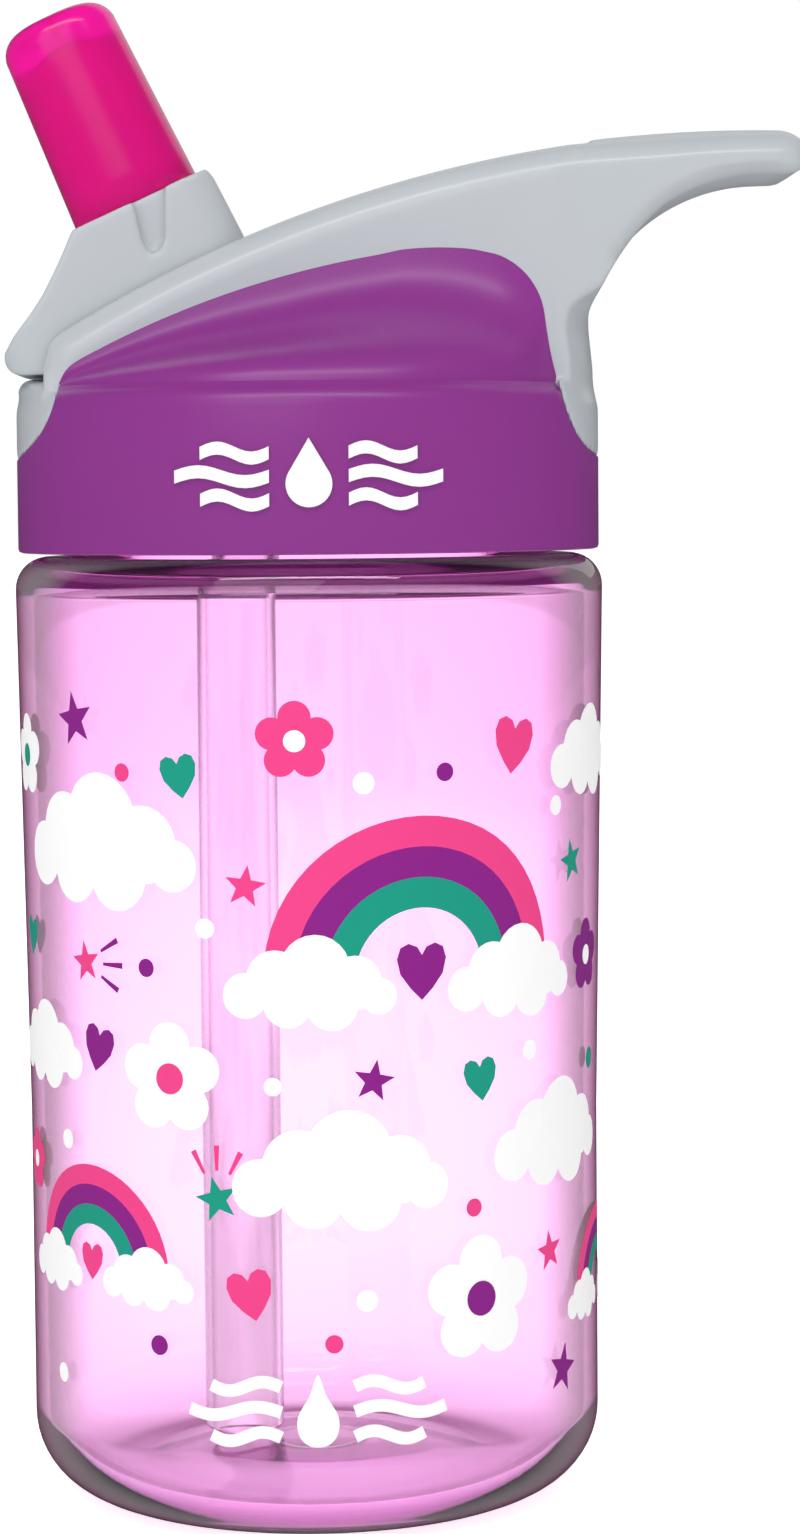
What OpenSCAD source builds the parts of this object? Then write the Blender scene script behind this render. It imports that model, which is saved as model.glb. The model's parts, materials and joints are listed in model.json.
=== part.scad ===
// Flip-straw drinking bottle for a child: clear body, screw cap, tilting spout, hooked carry handle.
// Z is up, the origin is the centre of the base, +X is the handle's side and -X the drinking side.

/* [Body] */
// Outer radius of the body just under its shoulder
body_r = 36.5; // [34:0.5:44]
// How much smaller in radius the straight band at the foot is
body_taper = 1; // [0:0.25:3]
// Height of the shoulder's flat top above the ground
body_h = 117; // [90:1:160]
// Wall of the body and of its floor
body_wall = 2.2; // [1.6:0.1:3]
// Radius of the rounded corner at the foot
foot_corner_r = 10; // [6:0.5:14]
// Height at which the straight band at the foot ends
foot_band_h = 48; // [30:1:60]
// How far the floor is pushed up in its middle
punt_h = 3; // [1:0.5:6]

/* [Neck and thread] */
// Outer radius of the neck between its threads
neck_r = 29.5; // [29:0.5:36]
// Height of the neck above the shoulder
neck_h = 16.5; // [15:0.5:20]
// Wall of the neck
neck_wall = 2.5; // [2:0.1:3.5]
// Rise of the thread in one turn
thread_pitch = 4; // [3.5:0.25:5]
// Turns of thread on the neck and in the cap
thread_turns = 1.25; // [1:0.25:1.5]
// Depth of a thread
thread_depth = 1.5; // [1.2:0.1:2]

/* [Cap] */
// Wall of the coloured outer shell
shell_wall = 2.1; // [1.6:0.1:3]
// Wall of the inner cap's threaded skirt
skirt_wall = 2.5; // [2:0.1:3.5]
// Thickness of the inner cap's deck
deck_t = 2.2; // [1.6:0.1:3]
// Thickness of the sealing ring
gasket_t = 1.5; // [1:0.1:2.5]
// Height of the shell's straight wall
shell_wall_h = 18.4; // [16:0.2:21]

/* [Handle] */
// Width of the grey arch across the cap
arch_w = 32.8; // [32:0.2:40]
// Width of the slot that the spout tilts in
slot_w = 24.8; // [22:0.2:27]
// Width of the hooked handle at its tip
handle_tip_w = 23; // [18:0.5:28]
// Thickness of the handle at its tip
handle_tip_t = 6.2; // [5:0.2:8]

/* [Spout] */
// Radius of the spout's round hub
hub_r = 7; // [6:0.1:8]
// Radius of the two trunnions that the spout turns on
trunnion_r = 3; // [2:0.1:3.4]
// Lean of the open spout from upright
spout_lean = 24.5; // [20:0.5:28]
// Radius of the drinking channel
channel_r = 2.9; // [2:0.1:3.2]
// Length of the bite valve that shows above the collar
valve_len = 25.2; // [20:0.2:27]
// Thickness of the bite valve at its root
valve_root_t = 16.4; // [14:0.2:17]
// Thickness of the bite valve at its tip
valve_tip_t = 14.3; // [12:0.2:15]
// Width of the bite valve at its root
valve_root_w = 21; // [17:0.5:22]
// Width of the bite valve at its tip
valve_tip_w = 19.4; // [16:0.5:21]

/* [Straw] */
// Outer radius of the straw
straw_r = 4.95; // [4.7:0.05:5.6]
// Wall of the straw
straw_wall = 0.95; // [0.7:0.05:1.2]
// Gap between the straw's lower end and the bottle's floor
straw_gap = 4; // [2:0.5:10]

/* [Hidden] */
$fn = 96;

run_gap = 0.05;                 // radial gap of the trunnions and of the seal on the hub
side_gap = 0.4;                 // gap on each side of the tilting spout
seat_gap = 0.1;                 // gap between parts that face each other across a seal
thread_gap = 0.4;               // radial gap between a thread's crest and the wall it faces
bite = 0.2;                     // how deep a thread is rooted in its wall

// Radii, worked out from the neck outwards
neck_bore_r = neck_r - neck_wall;
thread_crest_r = neck_r + thread_depth;
skirt_bore_r = thread_crest_r + thread_gap;
skirt_r = skirt_bore_r + skirt_wall;
shell_bore_r = skirt_r + seat_gap;
cap_r = shell_bore_r + shell_wall;
cap_k = cap_r / 36.1;           // stretches the side outline along X when the cap's radius changes

// Heights, all above the shoulder's flat top
skirt_z = 1.3;
shell_z = 0.5;
gasket_z = neck_h + seat_gap;
deck_z = gasket_z + gasket_t;
deck_top = deck_z + deck_t;
tongue_z = deck_top - 8.3;      // lowest point of the arch's two tongues in the shell's wall
seat_z = deck_top + 1.6;        // top of the front plate, which the spout's lip rests on

// Hinge of the spout
hinge_x = -12 * cap_k;
hinge_z = deck_top + 3.7;
well_floor = hinge_z - hub_r - 0.4;
well_wall = 2.2;
collar_h = 20.9;                // from the hinge to the collar's top face, along the spout
swing_r = norm([collar_h + valve_len, valve_tip_t / 2]);
trough_end = hinge_x + swing_r + 0.2;
straw_x = hinge_x + 2.8;
vent_x = hinge_x + 31.5;

// Body
foot_r = body_r - body_taper;
shoulder_r = min(4, body_r - neck_r - 0.5);
seal_r = 6;
seal_floor = well_floor - 2;
boss_r = seal_r + 2.4;
boss_z = seal_floor - 2.2;
stub_r = straw_r - straw_wall;
stub_len = 15;

// Points of an arc from angle a to angle b
function arc(x, z, r, a, b, n = 8) = [for (i = [0:n]) [x + r * cos(a + (b - a) * i / n), z + r * sin(a + (b - a) * i / n)]];
// The same arc, stretched along X with the cap
function cap_arc(x, z, r, a, b, n = 8) = [for (p = arc(x, z, r, a, b, n)) [p[0] * cap_k, p[1]]];
// Outer radius of the body at a height
function body_r_at(z) = foot_r + body_taper * max(0, z - foot_band_h) / (body_h - shoulder_r - foot_band_h);

// Everything above the shoulder is drawn from the shoulder's flat top
module on_shoulder() { translate([0, 0, body_h]) children(); }
// A flat side outline, made solid across the width w
module across(w) { rotate([90, 0, 0]) linear_extrude(w, center = true) children(); }
// Turns an upright piece into the open spout's direction
module along_spout() { translate([hinge_x, 0, hinge_z]) rotate([0, -spout_lean, 0]) children(); }
// Bar of half-round ends, used for the oval bite valve
module oval(t, w, h) {
    hull() for (s = [-1, 1]) translate([0, s * (w - t) / 2, 0]) cylinder(d = t, h = h, $fn = 32);
}

// One helical ridge; side is 1 on the outside of a wall and -1 on the inside
module thread(wall_r, side, z) {
    steps = round(36 * thread_turns);
    root = 1;
    crest = 0.5;
    ring = [for (i = [0:steps])
        let (a = 360 * thread_turns * i / steps,
             fade = min(1, i / 3, (steps - i) / 3),
             r0 = wall_r - side * bite,
             r1 = wall_r + side * (thread_depth * fade + 0.02),
             h = z + thread_pitch * a / 360)
        for (p = [[r0, -root], [r1, -crest], [r1, crest], [r0, root]])
            [p[0] * cos(a), p[0] * sin(a), h + p[1]]];
    sides = [for (i = [0:steps - 1]) for (j = [0:3])
        let (a = 4 * i + j, b = 4 * i + (j + 1) % 4)
        side < 0 ? [a, a + 4, b + 4, b] : [b, b + 4, a + 4, a]];
    ends = side < 0 ? [[0, 1, 2, 3], [4 * steps + 3, 4 * steps + 2, 4 * steps + 1, 4 * steps]]
                    : [[3, 2, 1, 0], [4 * steps, 4 * steps + 1, 4 * steps + 2, 4 * steps + 3]];
    polyhedron(points = ring, faces = concat(sides, ends), convexity = 6);
}

module bottle() {
    outer = concat(
        [[0, punt_h], [14, punt_h], [foot_r - foot_corner_r - 3.5, 0]],
        arc(foot_r - foot_corner_r, foot_corner_r, foot_corner_r, -90, 0),
        [[foot_r, foot_band_h]],
        arc(body_r - shoulder_r, body_h - shoulder_r, shoulder_r, 0, 90, 5),
        [[neck_r, body_h], [neck_r, body_h + neck_h - 0.8], [neck_r - 0.8, body_h + neck_h]]);
    inner_corner = foot_corner_r - body_wall;
    inner = concat(
        [[neck_bore_r, body_h + neck_h], [neck_bore_r, body_h - body_wall - 1]],
        arc(body_r - shoulder_r - 0.6, body_h - shoulder_r - body_wall + 0.6, shoulder_r - 1.6, 90, 0, 5),
        [[foot_r - body_wall, foot_band_h]],
        arc(foot_r - foot_corner_r, foot_corner_r, inner_corner, 0, -90),
        [[14, punt_h + body_wall], [0, punt_h + body_wall]]);
    color([0.98, 0.73, 0.92, 0.5]) {
        rotate_extrude() polygon(concat(outer, inner));
        thread(neck_r, 1, body_h + 4.5);
    }
}

module cap_gasket() {
    color("white") on_shoulder() translate([0, 0, gasket_z]) difference() {
        cylinder(r = thread_crest_r - 0.2, h = gasket_t);
        translate([0, 0, -1]) cylinder(r = neck_bore_r + 0.2, h = gasket_t + 2);
    }
}

// Outline of the coloured dome's upper edge, from the front of the cap to its back
function edge_points() = concat(
    cap_arc(-42.4, deck_top + 2, 11.6, -64, -4, 6),
    cap_arc(28.1, deck_top - 100.6, 118.9, 117.6, 99.4, 6),
    cap_arc(16.3, deck_top - 24.7, 42.3, 96, 84, 4),
    cap_arc(20.6, deck_top + 8.2, 9.06, 70, 5, 5),
    cap_arc(44, deck_top + 2, 13.2, 190, 236, 5));

// All that lies above that edge, which is the grey arch's share of the cap
module above_edge(w) {
    across(w) polygon(concat(edge_points(), [[90, deck_top - 7.8], [90, 90], [-90, 90], [-90, deck_top - 8.5]]));
}

// The dome's share: what lies under the edge and above the deck, lowered by a wall
module below_edge(w, drop) {
    across(w) difference() {
        translate([0, -drop]) polygon([for (p = edge_points()) if (p[1] > deck_top) p]);
        translate([-90, deck_top - 50]) square([180, 50]);
    }
}

// The shell's round wall, with the bead along its top
module shell_band() {
    rotate_extrude() polygon([
        [shell_bore_r, shell_z], [cap_r - 0.5, shell_z], [cap_r, shell_z + 0.5], [cap_r, shell_wall_h],
        [cap_r - 0.4, shell_wall_h + 0.9], [cap_r - 1.3, shell_wall_h + 1.4], [cap_r - 1.9, deck_top],
        [shell_bore_r, deck_top]]);
}

module cap_shell() {
    flange_r = cap_r - 1.9;
    color("#944792") on_shoulder() {
        difference() {
            union() {
                shell_band();
                translate([0, 0, deck_top]) difference() {
                    cylinder(r = flange_r, h = 1);
                    translate([0, 0, -1]) cylinder(r = flange_r - 2.2, h = 3);
                }
            }
            above_edge(90);
            translate([-90, -arch_w / 2 - run_gap, deck_top - 0.01]) cube([180, arch_w + 2 * run_gap, 40]);
        }
        difference() {
            hull() {
                translate([0, 0, deck_top + 0.3]) cylinder(r = flange_r - 0.3, h = 1.3, $fn = 64);
                below_edge(arch_w + 1.6, 0);
            }
            hull() {
                translate([0, 0, deck_top - 1]) cylinder(r = flange_r - 2.6, h = 1.6, $fn = 64);
                below_edge(arch_w + 0.4, 2.4);
            }
            translate([-90, -arch_w / 2 - run_gap, deck_top - 5]) cube([180, arch_w + 2 * run_gap, 60]);
        }
    }
}

module inner_cap() {
    well_x = [hinge_x - hub_r - 0.6, hinge_x + 21.5];
    well_w = slot_w + 0.4;
    stub_z = boss_z - stub_len;
    color("#d8dade") on_shoulder() {
        difference() {
            union() {
                translate([0, 0, skirt_z]) cylinder(r = skirt_r, h = deck_top - skirt_z);
            }
            translate([0, 0, -1]) cylinder(r = skirt_bore_r, h = deck_z + 1);
            translate([well_x[0], -well_w / 2, well_floor]) cube([well_x[1] - well_x[0], well_w, 20]);
            translate([vent_x, 0, deck_z - 1]) cylinder(r = 1.5, h = deck_t + 2);
            for (s = [-1, 1]) translate([vent_x, s * 2.8, deck_z - 1]) cylinder(r = 0.7, h = deck_t + 2);
        }
        difference() {
            union() {
                translate([well_x[0] - well_wall, -well_w / 2 - well_wall, well_floor - well_wall])
                    cube([well_x[1] - well_x[0] + 2 * well_wall, well_w + 2 * well_wall, deck_z + 0.1 - well_floor + well_wall]);
                translate([straw_x, 0, boss_z]) cylinder(r = boss_r, h = well_floor - boss_z);
                translate([straw_x, 0, stub_z]) cylinder(r = stub_r, h = stub_len + 0.1);
            }
            translate([well_x[0], -well_w / 2, well_floor]) cube([well_x[1] - well_x[0], well_w, 20]);
            translate([straw_x, 0, seal_floor]) cylinder(r = seal_r + run_gap, h = 10);
            translate([straw_x, 0, stub_z - 1]) cylinder(r = channel_r, h = 40);
        }
        thread(skirt_bore_r, -1, 2.5);
    }
}

// Height of the arch's ridge at x
function ridge_z(x) = sqrt(pow(161.7, 2) - pow(x - trough_end - 19.75, 2)) + deck_top - 130.1;

module handle_frame() {
    tip_r = handle_tip_t / 2;
    tip_x = trough_end + 23.45;
    under_x = trough_end + 21.75;
    under_r = 23.2;
    tip_z = ridge_z(tip_x) - tip_r;
    under_z = tip_z - tip_r - under_r - 0.2;
    front_x = -29.5 * cap_k;
    ridge = [for (i = [0:16]) let (x = front_x + (tip_x - front_x) * i / 16) [x, ridge_z(x)]];
    outline = concat(
        [[-31.8 * cap_k, deck_top], [-31.8 * cap_k, deck_top + 4.2], [-31.2 * cap_k, deck_top + 6.3]],
        ridge, arc(tip_x, tip_z, tip_r, 80, -80, 8), arc(under_x, under_z, under_r, 90, 162, 12),
        [[cap_r - 1.1, deck_top + 7.1], [cap_r - 0.6, deck_top + 2.3], [cap_r - 0.6, deck_top]]);
    ramp = [[hinge_x + 23.7, seat_z], [trough_end, seat_z + 12.7]];
    color("#c2c7cf") on_shoulder() difference() {
        union() {
            intersection() {
                across(arch_w) polygon(outline);
                handle_plan(tip_x + tip_r);
            }
            intersection() {
                translate([0, 0, tongue_z - 1]) difference() {
                    cylinder(r = cap_r, h = deck_top + 0.8 - tongue_z + 1);
                    translate([0, 0, -1]) cylinder(r = shell_bore_r, h = 40);
                }
                translate([0, 0, 0.05]) above_edge(arch_w + 4.4);
            }
            intersection() {
                translate([-cap_r, -arch_w / 2, deck_top])
                    cube([cap_r + hinge_x - hub_r - 2.8, arch_w, seat_z - deck_top]);
                cylinder(r1 = cap_r - 0.2, r2 = cap_r - 1.9, h = seat_z);
            }
        }
        // Slot for the spout, open at the front and down to the well
        across(slot_w) polygon([[-90, seat_z], [hinge_x - hub_r - 2.8, seat_z], [hinge_x - hub_r - 2.8, deck_top - 1],
            [hinge_x + 21.5, deck_top - 1], [hinge_x + 23.7, seat_z], ramp[1], [trough_end, 90], [-90, 90]]);
        // Hollow under the ramp that the stowed bite valve lies on
        across(slot_w - 2) polygon([[hinge_x + 27, deck_top - 1], [hinge_x + 27, deck_top + 0.6],
            [trough_end - 3, seat_z + 9], [trough_end - 3, deck_top - 1]]);
        translate([hinge_x, 0, hinge_z]) rotate([90, 0, 0])
            cylinder(r = trunnion_r + run_gap, h = slot_w + 4.2, center = true);
    }
}

// Top view of the arch and the tapering handle
module handle_plan(end_x) {
    root_x = 30 * cap_k;
    end_r = 6;
    translate([0, 0, -20]) linear_extrude(120) polygon(concat(
        [[-90, -arch_w / 2], [root_x, -arch_w / 2]],
        arc(end_x - end_r, -handle_tip_w / 2 + end_r, end_r, -90, 0, 6),
        arc(end_x - end_r, handle_tip_w / 2 - end_r, end_r, 0, 90, 6),
        [[root_x, arch_w / 2], [-90, arch_w / 2]]));
}

// A wavy bar of the cap's emblem
module wave(x, z, len) {
    t = 0.75;
    top = [for (i = [0:12]) [x + len * i / 12, z + t + 0.6 * sin(360 * i / 12)]];
    low = [for (i = [12:-1:0]) [x + len * i / 12, z - t + 0.6 * sin(360 * i / 12)]];
    polygon(concat(top, low));
}

module cap_badge() {
    badge_z = 9.6;
    color("white") on_shoulder() intersection() {
        translate([0, 0, 2]) difference() {
            cylinder(r = cap_r + 0.45, h = 16);
            translate([0, 0, -1]) cylinder(r = cap_r, h = 18);
        }
        translate([0, -cap_r + 8, badge_z]) rotate([90, 0, 0]) linear_extrude(12) {
            translate([0, -0.9]) circle(r = 2.7);
            polygon([[-2.34, 0.45], [0, 4.4], [2.34, 0.45]]);
            for (s = [-1, 1]) for (row = [-1, 0, 1])
                wave(s > 0 ? 4.6 : -4.6 - 11 + abs(row) * 3, row * 2.7, 11 - abs(row) * 3);
        }
    }
}

module spout_seal() {
    color("white") on_shoulder() difference() {
        translate([straw_x, 0, seal_floor]) cylinder(r = seal_r, h = well_floor + 1.3 - seal_floor);
        translate([straw_x, 0, seal_floor - 1]) cylinder(r = channel_r, h = 10);
        translate([hinge_x, 0, hinge_z]) rotate([90, 0, 0]) cylinder(r = hub_r + run_gap, h = 40, center = true);
    }
}

module vent_valve() {
    color("white") on_shoulder() translate([vent_x, 0, 0]) {
        translate([0, 0, deck_z - 1.2]) cylinder(r1 = 3.2, r2 = 4.4, h = 1.2);
        translate([0, 0, deck_z - 0.1]) cylinder(r = 1.45, h = deck_t + 0.2);
        translate([0, 0, deck_top]) cylinder(r1 = 2.2, r2 = 1.2, h = 1.6);
    }
}

module straw() {
    low = punt_h + body_wall + straw_gap - 2.2;
    top = body_h + boss_z;
    color([0.95, 0.8, 0.93, 0.6]) translate([straw_x, 0, low]) difference() {
        cylinder(r = straw_r, h = top - low);
        translate([0, 0, -1]) cylinder(r = straw_r - straw_wall, h = top - low + 2);
    }
}

module spout() {
    w = slot_w - 2 * side_gap;
    side = concat(
        [[-1.3, 22.6], [-0.1, 23], [0.8, 22], [4.4, 15], [6, 8.6], [6, 3.4], [0, 0], [-6.7, -1.8], [-20.2, -1.8]],
        arc(-22.9, 0.2, 2, -90, -200, 6),
        [[-23.5, 2.9], [-21.6, 5.3], [-20, 7.7], [-18.7, 10.2], [-17.5, 12.7], [-16.2, 15.7]]);
    color("#bdc2cd") on_shoulder() difference() {
        union() {
            intersection() {
                translate([hinge_x, 0, hinge_z]) across(w) polygon(side);
                along_spout() translate([0, 0, -30]) linear_extrude(30 + collar_h) spout_plan(w);
            }
            translate([hinge_x, 0, hinge_z]) rotate([90, 0, 0]) cylinder(r = hub_r, h = w, center = true);
            translate([hinge_x, 0, hinge_z]) rotate([90, 0, 0])
                cylinder(r = trunnion_r, h = slot_w + 3.6, center = true);
            along_spout() cylinder(r = 4.5, h = collar_h + 11);
        }
        along_spout() translate([0, 0, -hub_r - 3]) cylinder(r = channel_r, h = collar_h + hub_r + 20);
    }
}

// Rounded plan of the collar and its lip, seen along the spout
module spout_plan(w) {
    corner = 5;
    polygon(concat(
        arc(10.6 - corner, -w / 2 + corner, corner, -90, 0, 5), arc(10.6 - corner, w / 2 - corner, corner, 0, 90, 5),
        arc(-23 + corner, w / 2 - corner, corner, 90, 180, 5), arc(-23 + corner, -w / 2 + corner, corner, 180, 270, 5)));
}

module bite_valve() {
    tip = collar_h + valve_len;
    color("#e62892") on_shoulder() along_spout() difference() {
        hull() {
            translate([0, 0, collar_h]) oval(valve_root_t, valve_root_w, 1);
            translate([0, 0, tip - 3]) oval(valve_tip_t, valve_tip_w, 0.6);
            translate([0, 0, tip - 0.5]) oval(valve_tip_t - 3.5, valve_tip_w - 3.5, 0.5);
        }
        translate([0, 0, collar_h - 1]) cylinder(r = 4.5, h = 13);
        translate([0, 0, collar_h + 11]) cylinder(r = 5.4, h = valve_len - 14);
        translate([-0.3, -4, tip - 5]) cube([0.6, 8, 8]);
    }
}

bottle();
cap_gasket();
cap_shell();
inner_cap();
handle_frame();
cap_badge();
spout_seal();
vent_valve();
straw();
spout();
bite_valve();
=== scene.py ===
import json
import math

import bpy
import numpy as np
from mathutils import Euler, Matrix, Vector


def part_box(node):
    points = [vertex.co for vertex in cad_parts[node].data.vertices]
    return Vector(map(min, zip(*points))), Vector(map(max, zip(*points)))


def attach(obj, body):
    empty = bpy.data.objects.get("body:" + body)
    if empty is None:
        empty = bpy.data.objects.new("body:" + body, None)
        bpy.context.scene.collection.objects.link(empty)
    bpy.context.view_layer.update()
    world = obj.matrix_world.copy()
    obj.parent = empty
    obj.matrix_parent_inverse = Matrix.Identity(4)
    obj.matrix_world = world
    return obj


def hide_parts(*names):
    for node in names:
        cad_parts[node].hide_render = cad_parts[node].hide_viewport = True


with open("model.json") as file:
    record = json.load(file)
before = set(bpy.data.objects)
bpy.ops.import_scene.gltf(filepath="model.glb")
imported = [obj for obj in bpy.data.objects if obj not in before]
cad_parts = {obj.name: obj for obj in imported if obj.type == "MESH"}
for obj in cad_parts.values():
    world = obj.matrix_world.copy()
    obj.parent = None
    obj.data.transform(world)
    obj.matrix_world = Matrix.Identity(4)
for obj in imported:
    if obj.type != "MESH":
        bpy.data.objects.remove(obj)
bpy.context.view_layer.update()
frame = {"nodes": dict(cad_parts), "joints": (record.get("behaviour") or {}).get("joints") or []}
mm = 0.001


# small helpers

def hexColor(code):
    parts = [int(code[i:i + 2], 16) / 255 for i in (1, 3, 5)]
    return tuple(c / 12.92 if c <= 0.04045 else ((c + 0.055) / 1.055) ** 2.4 for c in parts) + (1.0,)


def addNode(tree, kind, inputs=None, **settings):
    # settings are the node's own options, inputs are numbers or the sockets that feed it
    node = tree.nodes.new(kind)
    for key, value in settings.items():
        setattr(node, key, value)
    for socket, value in (inputs or {}).items():
        if isinstance(value, bpy.types.NodeSocket):
            tree.links.new(value, node.inputs[socket])
        else:
            node.inputs[socket].default_value = value
    return node


def newMaterial(name):
    material = bpy.data.materials.new(name)
    material.use_nodes = True
    tree = material.node_tree
    tree.nodes.clear()
    shader = addNode(tree, "ShaderNodeBsdfPrincipled")
    output = addNode(tree, "ShaderNodeOutputMaterial", {"Surface": shader.outputs[0]})
    return material, tree, shader, output


def deselect():
    if bpy.context.object and bpy.context.object.mode != "OBJECT":
        bpy.ops.object.mode_set(mode="OBJECT")
    bpy.ops.object.select_all(action="DESELECT")


def pick(obj):
    deselect()
    obj.select_set(True)
    bpy.context.view_layer.objects.active = obj
    return obj


def inEdit(obj):
    pick(obj)
    bpy.ops.object.mode_set(mode="EDIT")
    bpy.ops.mesh.select_all(action="SELECT")


def applied(obj, kind, **settings):
    pick(obj)
    modifier = obj.modifiers.new(kind.title(), kind)
    for key, value in settings.items():
        setattr(modifier, key, value)
    bpy.ops.object.modifier_apply(modifier=modifier.name)
    return obj


def tidied(obj, angle=35):
    inEdit(obj)
    bpy.ops.mesh.remove_doubles(threshold=0.00002)
    bpy.ops.mesh.dissolve_degenerate(threshold=0.000005)
    bpy.ops.mesh.select_all(action="SELECT")
    bpy.ops.mesh.normals_make_consistent(inside=False)
    bpy.ops.object.mode_set(mode="OBJECT")
    bpy.ops.object.shade_smooth_by_angle(angle=math.radians(angle))
    return obj


def loopPiece(name, points, fill="NOTHING"):
    # a circle whose vertices are moved one by one onto the outline, in mm
    deselect()
    bpy.ops.mesh.primitive_circle_add(vertices=len(points), radius=0.01, fill_type=fill)
    obj = bpy.context.object
    obj.name = name
    for vertex, point in zip(obj.data.vertices, points):
        vertex.co = Vector(point) * mm
    return obj


def spun(name, profile, steps=128):
    # profile is a closed loop of (radius, height)
    obj = loopPiece(name, [(r, 0, z) for r, z in profile])
    inEdit(obj)
    bpy.ops.mesh.spin(steps=steps, angle=math.tau, center=(0, 0, 0), axis=(0, 0, 1), use_auto_merge=True)
    return tidied(obj)


def prism(name, outline, width, middle=0):
    # outline of (x, z), made solid across the width in y
    obj = loopPiece(name, [(x, middle - width / 2, z) for x, z in outline], "NGON")
    inEdit(obj)
    bpy.ops.mesh.extrude_region_move(TRANSFORM_OT_translate={"value": (0, width * mm, 0)})
    return tidied(obj)


def cut(obj, cutter, operation="DIFFERENCE"):
    applied(obj, "BOOLEAN", operation=operation, object=cutter, solver="EXACT")
    bpy.data.objects.remove(cutter, do_unlink=True)
    return obj


def arc(x, z, r, a, b, n=8):
    turn = [math.radians(a + (b - a) * i / n) for i in range(n + 1)]
    return [(x + r * math.cos(t), z + r * math.sin(t)) for t in turn]


def smoothLoop(points, parts=6):
    loop = []
    count = len(points)
    for i in range(count):
        a, b, c, d = (Vector(points[(i + k) % count]) for k in (-1, 0, 1, 2))
        for step in range(parts):
            t = step / parts
            loop.append(0.5 * (2 * b + (c - a) * t + (2 * a - 5 * b + 4 * c - d) * t * t
                               + (3 * b - a - 3 * c + d) * t ** 3))
    return [tuple(p) for p in loop]


def smoothLine(points, parts=6):
    ends = [tuple(2 * Vector(points[0]) - Vector(points[1]))] + list(points)
    ends.append(tuple(2 * Vector(points[-1]) - Vector(points[-2])))
    line = []
    for i in range(1, len(ends) - 2):
        a, b, c, d = (Vector(ends[i + k]) for k in (-1, 0, 1, 2))
        for step in range(parts):
            t = step / parts
            line.append(0.5 * (2 * b + (c - a) * t + (2 * a - 5 * b + 4 * c - d) * t * t
                               + (3 * b - a - 3 * c + d) * t ** 3))
    return line + [Vector(points[-1])]


def softened(obj, voxel, rounds, factor=0.5):
    # soft moulded edges: remeshed finely, then relaxed
    applied(obj, "REMESH", mode="VOXEL", voxel_size=voxel * mm)
    applied(obj, "SMOOTH", factor=factor, iterations=rounds)
    pick(obj)
    bpy.ops.object.shade_smooth()
    return obj


def finishPiece(obj, material, body, slot, *nodes):
    obj.data.materials.clear()
    obj.data.materials.append(material)
    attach(obj, body)
    if nodes:
        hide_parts(*nodes)
    return obj


# places that the frame gives

def mmBox(node):
    low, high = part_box(node)
    return Vector(low) / mm, Vector(high) / mm


deckTop = mmBox("inner_cap")[1].z          # top of the inner cap's deck
neckTop = mmBox("bottle")[1].z
neckHeight = 16.5
shoulderZ = neckTop - neckHeight           # flat top of the shoulder
capLow, capHigh = mmBox("cap_shell")
capR = capHigh.x                           # outer radius of the cap
hinge = Vector(next(j for j in frame["joints"] if j["name"] == "spout_flip")["pos_m"]) / mm
strawLow, strawHigh = mmBox("straw")
print("frame read", round(capR, 2), round(shoulderZ, 2), hinge[:])


# camera, light and floor

cameraSet = {"place": (-0.8, -477.7, 125.0), "turn": 1.43, "down": 4.16, "roll": -0.48, "lens": 89.67}


def makeCamera():
    data = bpy.data.cameras.new("camera")
    data.lens = cameraSet["lens"]
    data.sensor_width = 36
    data.clip_start = 0.01
    camera = bpy.data.objects.new("camera", data)
    bpy.context.collection.objects.link(camera)
    aim = Euler((math.radians(90 - cameraSet["down"]), 0, math.radians(-cameraSet["turn"]))).to_matrix()
    camera.matrix_world = Matrix.LocRotScale(
        Vector(cameraSet["place"]) * mm, aim @ Matrix.Rotation(math.radians(cameraSet["roll"]), 3, "Z"), None)
    bpy.context.scene.camera = camera


lightSet = {"paper": 1.0, "room": 0.62, "glow": 0.75, "bounce": 0.3, "mirror": 0.14, "key": 2.9, "top": 3.2,
            "back": 1.2}


def softLight(name, place, size, power, target=(0, 0, 0.1)):
    data = bpy.data.lights.new(name, "AREA")
    data.shape = "RECTANGLE"
    data.size, data.size_y = size
    data.energy = power
    lamp = bpy.data.objects.new(name, data)
    bpy.context.collection.objects.link(lamp)
    lamp.location = place
    lamp.rotation_mode = "QUATERNION"
    lamp.rotation_quaternion = (Vector(target) - Vector(place)).to_track_quat("-Z", "Y")


def rayKinds(tree):
    # the backdrop is white to the eye, softer as room light, and dark where the object's gloss reflects it
    path = addNode(tree, "ShaderNodeLightPath").outputs
    seen = addNode(tree, "ShaderNodeMath", {0: path["Is Camera Ray"], 1: path["Is Transmission Ray"]},
                   operation="MAXIMUM")
    mirrored = addNode(tree, "ShaderNodeMath", {0: path["Is Glossy Ray"], 1: seen.outputs[0]},
                       operation="SUBTRACT", use_clamp=True)
    return seen.outputs[0], mirrored.outputs[0]


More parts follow.
